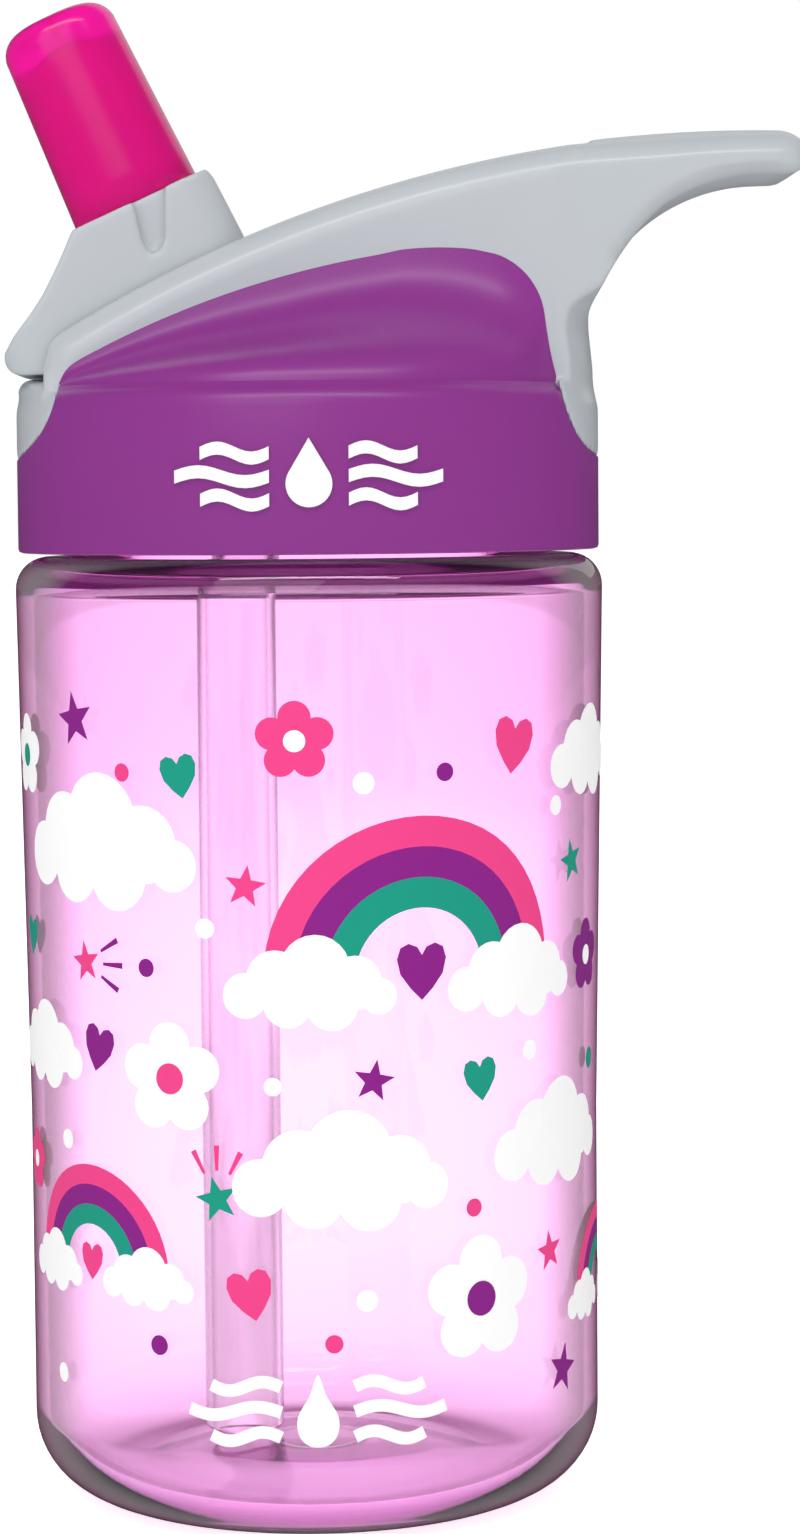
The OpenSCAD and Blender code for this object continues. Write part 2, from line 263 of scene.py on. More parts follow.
def makeStudio():
    bpy.context.scene.view_settings.view_transform = "Standard"
    world = bpy.data.worlds.new("studio")
    bpy.context.scene.world = world
    world.use_nodes = True
    tree = world.node_tree
    ground = tree.nodes["Background"]
    ground.inputs["Color"].default_value = hexColor("#FFFFFF")
    seen, mirrored = rayKinds(tree)
    level = addNode(tree, "ShaderNodeMapRange", {"Value": seen, "To Min": lightSet["room"],
                                                 "To Max": lightSet["paper"]})
    dim = addNode(tree, "ShaderNodeMapRange", {"Value": mirrored, "To Min": 1.0,
                                               "To Max": lightSet["mirror"]})
    strength = addNode(tree, "ShaderNodeMath", {0: level.outputs[0], 1: dim.outputs[0]},
                       operation="MULTIPLY")
    tree.links.new(strength.outputs[0], ground.inputs["Strength"])
    softLight("keyLight", (-0.35, -1.1, 0.7), (0.9, 0.9), lightSet["key"])
    softLight("topLight", (0.0, -0.6, 0.95), (1.1, 0.13), lightSet["top"])
    softLight("backLight", (0.2, 0.9, 0.6), (1.0, 0.8), lightSet["back"])
    deselect()
    bpy.ops.mesh.primitive_grid_add(size=14, x_subdivisions=4, y_subdivisions=4, location=(0, 0, -0.0002))
    floor = bpy.context.object
    floor.name = "studioFloor"
    material, tree, shader, output = newMaterial("whitePaper")
    shader.inputs["Roughness"].default_value = 0.9
    shader.inputs["Emission Color"].default_value = hexColor("#FFFFFF")
    seen, mirrored = rayKinds(tree)
    paper = addNode(tree, "ShaderNodeMix", {"Factor": mirrored, 6: hexColor("#FAFAFA"),
                                            7: hexColor("#4A4A4A")}, data_type="RGBA")
    tree.links.new(paper.outputs[2], shader.inputs["Base Color"])
    level = addNode(tree, "ShaderNodeMapRange", {"Value": seen, "To Max": lightSet["glow"],
                                                 "To Min": lightSet["glow"] * lightSet["bounce"]})
    dim = addNode(tree, "ShaderNodeMapRange", {"Value": mirrored, "To Min": 1.0, "To Max": 0.0})
    strength = addNode(tree, "ShaderNodeMath", {0: level.outputs[0], 1: dim.outputs[0]},
                       operation="MULTIPLY")
    tree.links.new(strength.outputs[0], shader.inputs["Emission Strength"])
    floor.data.materials.append(material)


makeCamera()
makeStudio()
print("camera and studio ready")


# materials

def mouldedPlastic(name, colour, roughness, grain=0.25, bump=0.05):
    # injection-moulded polypropylene: satin gloss with a very fine orange peel and faint flow clouds
    material, tree, shader, output = newMaterial(name)
    place = addNode(tree, "ShaderNodeTexCoord").outputs["Object"]
    clouds = addNode(tree, "ShaderNodeTexNoise", {"Vector": place, "Scale": 60, "Detail": 2})
    peel = addNode(tree, "ShaderNodeTexNoise", {"Vector": place, "Scale": 1 / (grain * 2.5 * mm),
                                                "Detail": 3})
    base = hexColor(colour)
    shade = tuple(c * 0.94 for c in base[:3]) + (1.0,)
    blend = addNode(tree, "ShaderNodeMix", {"Factor": clouds.outputs["Fac"], 6: base, 7: shade},
                    data_type="RGBA")
    tree.links.new(blend.outputs[2], shader.inputs["Base Color"])
    rough = addNode(tree, "ShaderNodeMapRange", {"Value": clouds.outputs["Fac"], "To Min": roughness - 0.03,
                                                 "To Max": roughness + 0.04})
    tree.links.new(rough.outputs[0], shader.inputs["Roughness"])
    relief = addNode(tree, "ShaderNodeBump", {"Height": peel.outputs["Fac"], "Strength": bump,
                                              "Distance": 0.02 * mm})
    tree.links.new(relief.outputs[0], shader.inputs["Normal"])
    shader.inputs["IOR"].default_value = 1.49
    return material


def clearPlastic(name, colour, absorb, density, roughness, ior, edge=""):
    # see-through moulded plastic: the tint deepens where the light passes through more of the wall; the edge
    # colour, when given, is painted shade at the rim
    material, tree, shader, output = newMaterial(name)
    place = addNode(tree, "ShaderNodeTexCoord").outputs["Object"]
    flow = addNode(tree, "ShaderNodeTexNoise", {"Vector": place, "Scale": 45, "Detail": 1})
    relief = addNode(tree, "ShaderNodeBump", {"Height": flow.outputs["Fac"], "Strength": 0.06,
                                              "Distance": 0.1 * mm})
    tree.links.new(relief.outputs[0], shader.inputs["Normal"])
    shader.inputs["Base Color"].default_value = hexColor(colour)
    shader.inputs["Roughness"].default_value = roughness
    shader.inputs["IOR"].default_value = ior
    shader.inputs["Transmission Weight"].default_value = 1.0
    if edge:                               # painted rim shade: where the wall is seen edge-on, the base colour turns to the edge colour and less light passes through
        facing = addNode(tree, "ShaderNodeLayerWeight", {"Blend": 0.5})
        rim = addNode(tree, "ShaderNodeMapRange", {"Value": facing.outputs["Facing"], "From Min": 0.45,
                                                   "From Max": 0.95})
        through = addNode(tree, "ShaderNodeMapRange", {"Value": rim.outputs[0], "To Min": 1.0,
                                                       "To Max": 0.25})
        tree.links.new(through.outputs[0], shader.inputs["Transmission Weight"])
        # painted shade: the base colour darkens toward the rim by viewing angle
        paintedRimShade = addNode(tree, "ShaderNodeMix", {"Factor": rim.outputs[0], 6: hexColor(colour),
                                               7: hexColor(edge)}, data_type="RGBA")
        tree.links.new(paintedRimShade.outputs[2], shader.inputs["Base Color"])
    if density:
        volume = addNode(tree, "ShaderNodeVolumeAbsorption", {"Color": hexColor(absorb), "Density": density})
        tree.links.new(volume.outputs[0], output.inputs["Volume"])
    return material


def siliconeRubber(name, colour, deep, roughness, through, clear=0.0):
    # liquid silicone rubber: satin skin, light spreads a few millimetres inside it
    material, tree, shader, output = newMaterial(name)
    place = addNode(tree, "ShaderNodeTexCoord").outputs["Object"]
    mottle = addNode(tree, "ShaderNodeTexNoise", {"Vector": place, "Scale": 90, "Detail": 2})
    blend = addNode(tree, "ShaderNodeMix", {"Factor": mottle.outputs["Fac"], 6: hexColor(colour),
                                            7: hexColor(deep)}, data_type="RGBA")
    tree.links.new(blend.outputs[2], shader.inputs["Base Color"])
    fine = addNode(tree, "ShaderNodeTexNoise", {"Vector": place, "Scale": 1500, "Detail": 2})
    relief = addNode(tree, "ShaderNodeBump", {"Height": fine.outputs["Fac"], "Strength": 0.05,
                                              "Distance": 0.02 * mm})
    tree.links.new(relief.outputs[0], shader.inputs["Normal"])
    shader.inputs["Roughness"].default_value = roughness
    shader.inputs["IOR"].default_value = 1.41
    shader.inputs["Transmission Weight"].default_value = clear
    shader.inputs["Subsurface Weight"].default_value = through
    shader.inputs["Subsurface Radius"].default_value = (1.0, 0.3, 0.6)
    shader.inputs["Subsurface Scale"].default_value = 2.0 * mm
    return material


def printInk(name, colour):
    # UV-cured screen ink: opaque and a little shiny, with the dots of the screen's mesh as a faint relief
    material, tree, shader, output = newMaterial(name)
    place = addNode(tree, "ShaderNodeTexCoord").outputs["Object"]
    grain = addNode(tree, "ShaderNodeTexNoise", {"Vector": place, "Scale": 2500, "Detail": 2})
    relief = addNode(tree, "ShaderNodeBump", {"Height": grain.outputs["Fac"], "Strength": 0.04,
                                              "Distance": 0.01 * mm})
    tree.links.new(relief.outputs[0], shader.inputs["Normal"])
    shader.inputs["Base Color"].default_value = hexColor(colour)
    shader.inputs["Roughness"].default_value = 0.6
    shader.inputs["Specular IOR Level"].default_value = 0.3
    return material


greyPlastic = mouldedPlastic("greyPolypropylene", "#C0C5CA", 0.24)
purplePlastic = mouldedPlastic("purplePolypropylene", "#8E308E", 0.32)
innerPlastic = mouldedPlastic("naturalPolypropylene", "#D9DBE0", 0.5)
whitePlastic = mouldedPlastic("whiteEmblemPlastic", "#FAFAFA", 0.4)
# the last colour of each clear plastic is its painted rim shade, shown where the wall is seen edge-on
bottlePlastic = clearPlastic("pinkCopolyester", "#FFFFFF", "#F694EC", 225.0, 0.02, 1.54, "#92246E")
strawPlastic = clearPlastic("clearPolypropyleneStraw", "#FDF6FB", "#FFFFFF", 0.0, 0.1, 1.49, "#E9C4E0")
pinkSilicone = siliconeRubber("pinkSilicone", "#F80FA6", "#F20B9C", 0.2, 0.1, 0.55)
sealSilicone = siliconeRubber("milkySilicone", "#F1F2F4", "#E4E6EA", 0.45, 0.5)
inks = {
    "white": printInk("whiteScreenInk", "#FFFFFF"),
    "pink": printInk("pinkScreenInk", "#F23F8A"),
    "purple": printInk("purpleScreenInk", "#8C1089"),
    "teal": printInk("tealScreenInk", "#009C84"),
}
print("materials ready")


# the see-through body

bodySet = {"footR": 35.5, "topR": 36.5, "cornerR": 10.0, "bandTop": 48.0, "shoulderR": 4.0, "wall": 1.6,
           "neckR": 29.5, "neckWall": 2.5, "punt": 3.0, "thick": 1.2}


def bodyRadius(z):
    rise = max(0.0, z - bodySet["bandTop"]) / (shoulderZ - bodySet["shoulderR"] - bodySet["bandTop"])
    return bodySet["footR"] + (bodySet["topR"] - bodySet["footR"]) * rise


def makeBottle():
    s = bodySet
    foot = s["footR"] - s["cornerR"]
    rim = shoulderZ + neckHeight
    bore = s["neckR"] - s["neckWall"]
    punt = s["punt"]
    outer = [(0.0, punt), (5.0, punt), (5.3, punt - 0.25), (6.0, punt - 0.25), (6.3, punt),
             (11.0, punt - 0.2), (15.0, punt - 0.8), (19.0, 1.3), (22.0, 0.4)]
    outer += arc(foot, s["cornerR"], s["cornerR"], -90, 0, 14) + [(s["footR"], s["bandTop"])]
    outer += arc(s["topR"] - s["shoulderR"], shoulderZ - s["shoulderR"], s["shoulderR"], 0, 90, 10)
    outer += [(s["neckR"] + 0.5, shoulderZ), (s["neckR"], shoulderZ + 0.5), (s["neckR"], rim - 0.6),
              (s["neckR"] - 0.6, rim)]
    inner = [(bore + 0.4, rim), (bore, rim - 0.4), (bore, shoulderZ - s["wall"] - 0.4),
             (bore + 0.8, shoulderZ - s["wall"] - 1.0)]
    inner += arc(s["topR"] - s["shoulderR"] - 0.6, shoulderZ - s["shoulderR"] - s["wall"] + 0.6,
                 s["shoulderR"] - 1.6, 80, 0, 8)
    inner += [(s["footR"] - s["wall"], s["bandTop"])]
    inner += arc(foot, s["cornerR"] + s["thick"], s["cornerR"] - s["wall"], 0, -90, 14)
    inner += [(22.0, 3.3), (19.0, 4.1), (15.0, 5.0), (11.0, 5.7), (6.0, 6.0), (0.0, 6.1)]
    body = spun("bottleBody", outer + inner, 160)
    finishPiece(body, bottlePlastic, "bottle", "tinted_copolyester", "bottle")


makeBottle()
print("body ready")


# straw

strawSet = {"wall": 0.95, "soft": 0.3, "chamfer": 0.2}


def makeStraw():
    s = strawSet
    x = (strawLow.x + strawHigh.x) / 2
    r = (strawHigh.x - strawLow.x) / 2
    bore = r - s["wall"]
    low, high = strawLow.z, strawHigh.z
    profile = [(r - s["soft"], low), (r, low + s["soft"]), (r, high - s["soft"]), (r - s["soft"], high),
               (bore + s["chamfer"], high), (bore, high - s["soft"]), (bore, low + s["soft"]),
               (bore + s["chamfer"], low)]
    straw = spun("drinkingStraw", profile, 64)
    inEdit(straw)
    bpy.ops.transform.translate(value=(x * mm, 0, 0))
    bpy.ops.object.mode_set(mode="OBJECT")
    finishPiece(straw, strawPlastic, "cap", "clear_straw", "straw")


makeStraw()


# outline that the purple dome and the grey arch share

def edgeLine():
    d = deckTop
    back = [(28.75, d + 7.0), (29.15, d + 4.5), (29.55, d + 2.6), (29.9, d + 1.2), (30.1, d + 0.1),
            (30.33, d - 1.1), (30.7, d - 2.5), (31.3, d - 4.0), (32.0, d - 5.4), (33.1, d - 6.9),
            (34.4, d - 7.9), (36.4, d - 8.8)]
    front = [(-29.55, d + 1.3), (-29.2, d + 1.95), (-28.7, d + 2.55), (-28.0, d + 3.1), (-27.1, d + 3.65)]
    return (arc(-40.97, d + 1.5, 11.2, -66, -4, 10) + front + arc(27.11, d - 97.56, 114.8, 117.6, 99.4, 24)
            + arc(15.71, d - 24.27, 40.84, 96, 84, 8) + arc(19.86, d + 7.5, 8.75, 70, 8, 12)
            + [tuple(p) for p in smoothLine(back, 4)])


def aboveEdge(name, width, drop=0.0):
    line = [(x, z - drop) for x, z in edgeLine()]
    return prism(name, line + [(90, deckTop - 8.8), (90, deckTop + 70), (-90, deckTop + 70),
                               (-90, deckTop - 8.8)], width)


# purple outer shell

shellSet = {"lobeR": 34.1, "lobeWall": 2.0, "swell": 6.2, "flare": 10.5, "side": 16.45, "ends": 0.985,
            "lean": 1.2, "tuck": 1.4, "ease": 13.0}


def makeShell():
    d, s = deckTop, shellSet
    low = capLow.z
    ring = spun("purpleShell", [
        (capR - 2.1, low), (capR - 0.5, low), (capR - 0.12, low + 0.15), (capR, low + 0.5),
        (capR, d - 2.6), (capR - 0.08, d - 2.0), (capR - 0.3, d - 1.3), (capR - 0.75, d - 0.7),
        (capR - 1.2, d - 0.4), (capR - 1.7, d - 0.1), (capR - 2.0, d + 0.35), (capR - 2.6, d + 0.7),
        (capR - 4.6, d + 0.7), (capR - 4.6, d + 0.1), (capR - 2.1, d - 0.2)], 192)
    cut(ring, aboveEdge("edgeCutter", 90, -0.04))
    # each side of the dome is a sheet of curves that rise from the ring to the edge along the arch
    line = [p for p in edgeLine() if p[1] > d + 0.7]
    lengths = [0.0]
    for a, b in zip(line, line[1:]):
        lengths.append(lengths[-1] + math.dist(a, b))

    def edgeAt(share):
        want = share * lengths[-1]
        for i in range(1, len(line)):
            if lengths[i] >= want:
                t = (want - lengths[i - 1]) / (lengths[i] - lengths[i - 1])
                return tuple(a + (b - a) * t for a, b in zip(line[i - 1], line[i]))
        return line[-1]

    across, up = 96, 24
    deselect()
    bpy.ops.mesh.primitive_grid_add(x_subdivisions=across, y_subdivisions=up, size=2)
    lobe = bpy.context.object
    first = math.acos(-line[0][0] / s["lobeR"] * s["ends"])
    last = math.acos(line[-1][0] / s["lobeR"] * s["ends"])
    for vertex in lobe.data.vertices:
        u, v = (vertex.co.x + 1) / 2, (vertex.co.y + 1) / 2
        turn = math.pi + first + (math.pi - first - last) * u
        base = Vector((s["lobeR"] * math.cos(turn), s["lobeR"] * math.sin(turn), d + 0.3))
        x, z = edgeAt(u)
        top = Vector((x, -s["side"], z))
        share = min(1.0, (top.z - base.z) / s["ease"])
        inward = Vector((-base.x, -base.y, 0)).normalized()
        near = base + inward * (s["lean"] * share) + Vector((0, 0, s["swell"] * share))
        far = top + Vector((0, -s["tuck"] * share, -s["flare"] * share))
        vertex.co = mm * (base * (1 - v) ** 3 + near * 3 * v * (1 - v) ** 2 + far * 3 * v * v * (1 - v)
                          + top * v ** 3)
    applied(lobe, "SOLIDIFY", thickness=s["lobeWall"] * mm, offset=-1)
    applied(lobe, "MIRROR", use_axis=(False, True, False), use_mirror_merge=False)
    tidied(lobe, 40)
    pick(ring)
    lobe.select_set(True)
    bpy.ops.object.join()
    bpy.ops.object.shade_smooth_by_angle(angle=math.radians(32))
    finishPiece(ring, purplePlastic, "cap", "purple_shell", "cap_shell")


makeShell()
print("purple shell ready")


# grey arch with its hooked handle

frameSet = {"width": 32.8, "round": 3.4, "lowRound": 2.4, "slot": 24.8, "tipWidth": 23.0, "narrowFrom": 30,
            "tipR": 3.1, "planR": 3.6, "crown": 0.0062, "handleCrown": 0.0048, "hollow": 0.006, "holeR": 3.05,
            "holeDepth": 1.9, "holeAt": 13.25, "voxel": 0.42, "smooth": 5}


def archOutline():
    # front, ridge, tip, underside of the handle and back of the side view, which together close it
    d, r = deckTop, frameSet["tipR"]
    ridge = arc(54.6, d - 130.1, 161.7, 121.35, 88.7, 30)
    tip = arc(ridge[-1][0], ridge[-1][1] - r, r, 80, -80, 10)
    under = arc(56.6, d + 1.9, 23.2, 90, 162, 20)
    return [(-31.8, d - 0.5), (-31.8, d + 4.2), (-31.2, d + 6.3), (-30.6, d + 7.2)], ridge, tip, under, [
        (34.9, d + 7.1), (35.5, d + 2.3), (35.6, d - 0.5)]


def frameHalf(x, end):
    # half the width of the arch, and of the handle that narrows from it
    wide, start = frameSet["width"] / 2, frameSet["narrowFrom"]
    return wide + (frameSet["tipWidth"] / 2 - wide) * np.maximum(0.0, x - start) / (end - start)


def awayFrom(x, z, line):
    # distance in the side view from many points to a line of many short pieces
    best = np.full(len(x), 99.0)
    for (ax, az), (bx, bz) in zip(line, line[1:]):
        dx, dz = bx - ax, bz - az
        t = np.clip(((x - ax) * dx + (z - az) * dz) / max(dx * dx + dz * dz, 1e-9), 0, 1)
        best = np.minimum(best, np.hypot(x - ax - t * dx, z - az - t * dz))
    return best


def roundFrame(arch, top, low, end):
    # rolls the long edges over and crowns the faces between them
    data = np.empty(len(arch.data.vertices) * 3)
    arch.data.vertices.foreach_get("co", data)
    x, y, z = (data.reshape(-1, 3) / mm).T
    half = frameHalf(x, end)
    fixed = np.where(x < 34, frameSet["slot"] / 2, half - 4.2)
    toTop, toLow = awayFrom(x, z, top), awayFrom(x, z, low)
    allowed = half.copy()
    for away, size in ((toTop, frameSet["round"]), (toLow, frameSet["lowRound"])):
        roll = half - size + np.sqrt(np.clip(size ** 2 - np.clip(size - away, 0, None) ** 2, 0, None))
        allowed = np.minimum(allowed, roll)
    across = np.abs(y)
    squeezed = fixed + (across - fixed) * (allowed - fixed) / (half - fixed)
    new = np.where(across > fixed, squeezed, across)
    high = np.clip((x - 32) / 12, 0, 1)
    bend = frameSet["crown"] + frameSet["handleCrown"] * high
    z = z - bend * new ** 2 * np.clip(1 - toTop / (12 - 6 * high), 0, 1)
    z = z + frameSet["hollow"] * new ** 2 * np.clip(1 - toLow / 3, 0, 1) * np.clip((x - 38) / 6, 0, 1)
    data = np.column_stack((x, np.copysign(new, y), z)).ravel() * mm
    arch.data.vertices.foreach_set("co", data)
    arch.data.update()


def makeFrame():
    f, d = frameSet, deckTop
    seat = d + 1.6
    front, ridge, tip, under, back = archOutline()
    arch = prism("greyFrame", front + ridge + tip + under + back, f["width"])
    inEdit(arch)
    for x in range(f["narrowFrom"], 64, 3):
        bpy.ops.mesh.select_all(action="SELECT")
        bpy.ops.mesh.bisect(plane_co=(x * mm, 0, 0), plane_no=(1, 0, 0))
    bpy.ops.object.mode_set(mode="OBJECT")
    end = tip[0][0] + f["tipR"]
    for vertex in arch.data.vertices:      # the handle narrows towards its tip, which is rounded in plan
        x = vertex.co.x / mm
        if x > f["narrowFrom"]:
            half = frameHalf(x, end)
            near = max(0.0, x - (end - f["planR"]))
            half -= f["planR"] - math.sqrt(max(0.0, f["planR"] ** 2 - near ** 2))
            vertex.co.y = math.copysign(half * mm, vertex.co.y)
    # the back of the arch follows the round wall under it, and flares out to the handle
    wall = spun("backCutter", [(35.5, d - 5), (35.45, d + 2.3), (34.95, d + 7.1), (35.3, d + 9.2),
                               (36.2, d + 10.2), (38.4, d + 11.8), (42.0, d + 14.2), (60, d + 15),
                               (60, d - 5)])
    cut(arch, wall)
    cut(arch, prism("slotCutter", [(-90, seat), (-21.8, seat), (-21.8, d - 2), (9.5, d - 2), (11.7, seat),
                                   (34.85, seat + 12.7), (34.85, d + 60), (-90, d + 60)], f["slot"]))
    cut(arch, prism("hollowCutter", [(15, d - 3), (15, d + 0.6), (31.8, seat + 9), (31.8, d - 3)],
                    f["slot"] - 2))
    tongues = spun("tongues", [(34.1, d - 9.2), (capR - 0.02, d - 9.2), (capR - 0.02, d - 2.4),
                               (capR - 0.45, d - 0.6), (35.5, d + 0.6), (34.1, d + 0.6)], 192)
    cut(tongues, aboveEdge("tongueShape", 37.2), "INTERSECT")
    plate = spun("frontPlate", [(0, d - 0.2), (capR - 0.25, d - 0.2), (capR - 0.35, seat - 1.2),
                                (capR - 0.9, seat - 0.35), (capR - 1.9, seat), (0, seat)], 192)
    cut(plate, prism("plateShape", [(-40, d - 1), (-40, seat + 1), (-21.8, seat + 1), (-21.8, d - 1)],
                     f["width"]), "INTERSECT")
    pick(arch)
    for extra in (tongues, plate):
        extra.select_set(True)
    bpy.ops.object.join()
    softened(arch, f["voxel"], 2)
    roundFrame(arch, front[1:] + ridge + tip[:6], tip[5:] + under[:-5], end)
    applied(arch, "SMOOTH", factor=0.5, iterations=f["smooth"])
    for side in (-1, 1):                   # holes that the spout's trunnions turn in
        deselect()
        bpy.ops.mesh.primitive_cylinder_add(vertices=48, radius=f["holeR"] * mm, depth=f["holeDepth"] * mm,
                                            rotation=(math.pi / 2, 0, 0),
                                            location=(hinge.x * mm, side * f["holeAt"] * mm, hinge.z * mm))
        cut(arch, bpy.context.object)
    finishPiece(arch, greyPlastic, "cap", "grey_plastic", "handle_frame")
    print("frame faces", len(arch.data.polygons))


makeFrame()
print("grey frame ready")


# tilting spout

spoutSet = {"width": 24.0, "lean": 24.5, "collar": 20.9, "corner": 5.0, "hub": 7.0, "pinR": 3.0,
            "pinLength": 28.3, "groove": 2.8, "voxel": 0.32, "smooth": 6}


def leaned(obj):
    # from upright over the hinge to the open spout's lean
    inEdit(obj)
    bpy.ops.transform.rotate(value=math.radians(spoutSet["lean"]), orient_axis="Y", orient_type="GLOBAL",
                             center_override=(0, 0, 0))
    bpy.ops.transform.translate(value=(hinge.x * mm, 0, hinge.z * mm))
    bpy.ops.object.mode_set(mode="OBJECT")
    return obj


def makeSpout():
    s = spoutSet
    profile = [(-1.3, 22.6), (-0.1, 23.0), (0.8, 22.0), (4.4, 15.0), (6.0, 8.6), (6.0, 3.4), (0, 0),
               (-6.7, -1.8), (-20.2, -1.8)] + arc(-22.9, 0.2, 2.0, -90, -200, 8)
    profile += [(-23.5, 2.9), (-21.6, 5.3), (-20.0, 7.7), (-18.7, 10.2), (-17.5, 12.7), (-16.2, 15.7),
                (-15.8, 24)]
    spout = prism("greySpout", [(x + hinge.x, z + hinge.z) for x, z in profile], s["width"])
    corner = s["corner"]
    plan = []
    for cx, cy, a in ((10.6 - corner, -12 + corner, -90), (10.6 - corner, 12 - corner, 0),
                      (-23 + corner, 12 - corner, 90), (-23 + corner, -12 + corner, 180)):
        plan += [(x, y, -30) for x, y in arc(cx, cy, corner, a, a + 90, 8)]
    shape = loopPiece("spoutPlan", plan, "NGON")
    inEdit(shape)
    bpy.ops.mesh.extrude_region_move(TRANSFORM_OT_translate={"value": (0, 0, (30 + s["collar"]) * mm)})
    cut(spout, leaned(tidied(shape)), "INTERSECT")
    deselect()
    bpy.ops.mesh.primitive_cylinder_add(vertices=96, radius=s["hub"] * mm, depth=s["width"] * mm,
                                        rotation=(math.pi / 2, 0, 0), location=hinge * mm)
    hub = bpy.context.object
    deselect()
    bpy.ops.mesh.primitive_cylinder_add(vertices=48, radius=s["pinR"] * mm, depth=s["pinLength"] * mm,
                                        rotation=(math.pi / 2, 0, 0), location=hinge * mm)
    trunnions = bpy.context.object
    for side in (-1, 1):                   # finger groove on each side of the collar
        cut(spout, prism("groove", [(-21.9, 163), (-20.5, 158.4), (-19.9, 155.4), (-19.2, 153.9),
                                    (-18.3, 153.6), (-17.5, 154.3), (-17.1, 155.6), (-17.0, 163)],
                         s["groove"], side * 12.1))
    pick(spout)
    hub.select_set(True)
    trunnions.select_set(True)
    bpy.ops.object.join()
    softened(spout, s["voxel"], s["smooth"])
    finishPiece(spout, greyPlastic, "spout", "grey_plastic", "spout")
    print("spout faces", len(spout.data.polygons))


makeSpout()
print("spout ready")


# bite valve

valveSet = {"root": (16.4, 21.0), "tip": (14.3, 19.4), "length": 25.2, "wall": 2.3, "round": 2.7,
            "squareness": 2.6, "slit": (0.35, 8.5, 5.0)}


def ovalRing(thick, wide, z, count=64):
    # a squarish oval
    points = []
    power = 2 / valveSet["squareness"]
    for i in range(count):
        t = math.tau * i / count
        c, k = math.cos(t), math.sin(t)
        points.append((thick / 2 * math.copysign(abs(c) ** power, c),
                       wide / 2 * math.copysign(abs(k) ** power, k), z))
    return points


def makeValve():
    v, low = valveSet, spoutSet["collar"]
    high = low + v["length"]
    levels = []                            # (height, how much smaller than the outer oval)
    levels += [(low + 0.05, 0.25), (low + 0.3, 0.0)]
    levels += [(low + (v["length"] - v["round"]) * i / 6, 0.0) for i in range(1, 7)]
    for i in range(1, 9):
        t = math.radians(90 * i / 8)
        levels.append((high - v["round"] * (1 - math.sin(t)) - 0.25, v["round"] * (1 - math.cos(t))))
    levels += [(high - 0.12, v["round"] + 2.0), (high - 0.02, v["round"] + 4.2)]
    rings = []
    for z, inset in levels:
        share = (z - low) / v["length"]
        thick = v["root"][0] + (v["tip"][0] - v["root"][0]) * share - 2 * inset
        wide = v["root"][1] + (v["tip"][1] - v["root"][1]) * share - 2 * inset
        rings.append(ovalRing(max(thick, 0.9), max(wide, 4.0), z))
    inner = []                             # the hollow inside, from the collar up to under the tip
    for z, inset in ((low + 0.05, 0.3), (low + 4, 0.0), (high - 11, 0.0), (high - 7.2, 0.5),
                     (high - 5.2, 1.6), (high - 4.2, 3.2)):
        share = (z - low) / v["length"]
        thick = v["root"][0] + (v["tip"][0] - v["root"][0]) * share - 2 * v["wall"] - 2 * inset
        wide = v["root"][1] + (v["tip"][1] - v["root"][1]) * share - 2 * v["wall"] - 2 * inset
        inner.append(ovalRing(thick, wide, z))
    deselect()
    pieces = [loopPiece("ring", ring) for ring in inner[::-1] + rings]
    pick(pieces[0])
    for piece in pieces:
        piece.select_set(True)
    bpy.ops.object.join()
    valve = bpy.context.object
    valve.name = "biteValve"
    count = len(rings[0])
    total = len(pieces)
    for k in range(total - 1):             # bridge each ring to the next
        pick(valve)
        bpy.ops.object.mode_set(mode="EDIT")
        bpy.ops.mesh.select_all(action="DESELECT")
        bpy.ops.object.mode_set(mode="OBJECT")
        for edge in valve.data.edges:
            if all(k * count <= i < (k + 2) * count for i in edge.vertices) and \
                    edge.vertices[0] // count == edge.vertices[1] // count:
                edge.select = True
        bpy.ops.object.mode_set(mode="EDIT")
        bpy.ops.mesh.bridge_edge_loops()
    for k in (0, total - 1):
        bpy.ops.mesh.select_all(action="DESELECT")
        bpy.ops.object.mode_set(mode="OBJECT")
        for vertex in valve.data.vertices[k * count:(k + 1) * count]:
            vertex.select = True
        bpy.ops.object.mode_set(mode="EDIT")
        bpy.ops.mesh.edge_face_add()
    bpy.ops.object.mode_set(mode="OBJECT")
    tidied(valve, 50)
    deselect()
    bpy.ops.mesh.primitive_cube_add(size=1, location=(0, 0, (high - 1.0) * mm))
    slit = bpy.context.object
    slit.scale = Vector(v["slit"]) * mm
    bpy.ops.object.transform_apply(scale=True, location=True)
    cut(valve, slit)
    leaned(valve)
    bpy.ops.object.shade_smooth_by_angle(angle=math.radians(50))
    finishPiece(valve, pinkSilicone, "spout", "pink_silicone", "bite_valve")


makeValve()
print("valve ready")


# print on the body
# shapes are drawn flat, across and up in mm with 0 at the front, then wrapped round the body

printSet = {"rim": 36.0, "lift": 0.03, "step": 0.012, "film": 0.02, "strip": 1.5}
printShapes = {"white": [], "pink": [], "purple": [], "teal": []}


def inkShape(colour, outline, layer=0):
    turn = sum(a[0] * b[1] - b[0] * a[1] for a, b in zip(outline, outline[1:] + outline[:1]))
    outline = outline if turn > 0 else outline[::-1]
    height = -(printSet["lift"] + printSet["step"] * layer)
    printShapes[colour].append(loopPiece("ink", [(p[0], height, p[1]) for p in outline], "NGON"))


def inkBlob(colour, points):
    inkShape(colour, smoothLoop(points))


def inkStroke(colour, points, width):
    line = smoothLine(points, 2)
    left, right = [], []
    for i, p in enumerate(line):
        along = (line[min(i + 1, len(line) - 1)] - line[max(i - 1, 0)]).normalized()
        side = Vector((-along.y, along.x)) * width / 2
        left.append(tuple(p + side))
        right.append(tuple(p - side))
    inkShape(colour, left + right[::-1])


def inkDot(colour, s, z, r, layer=0):
    inkShape(colour, arc(s, z, r, 0, 345, 23), layer)


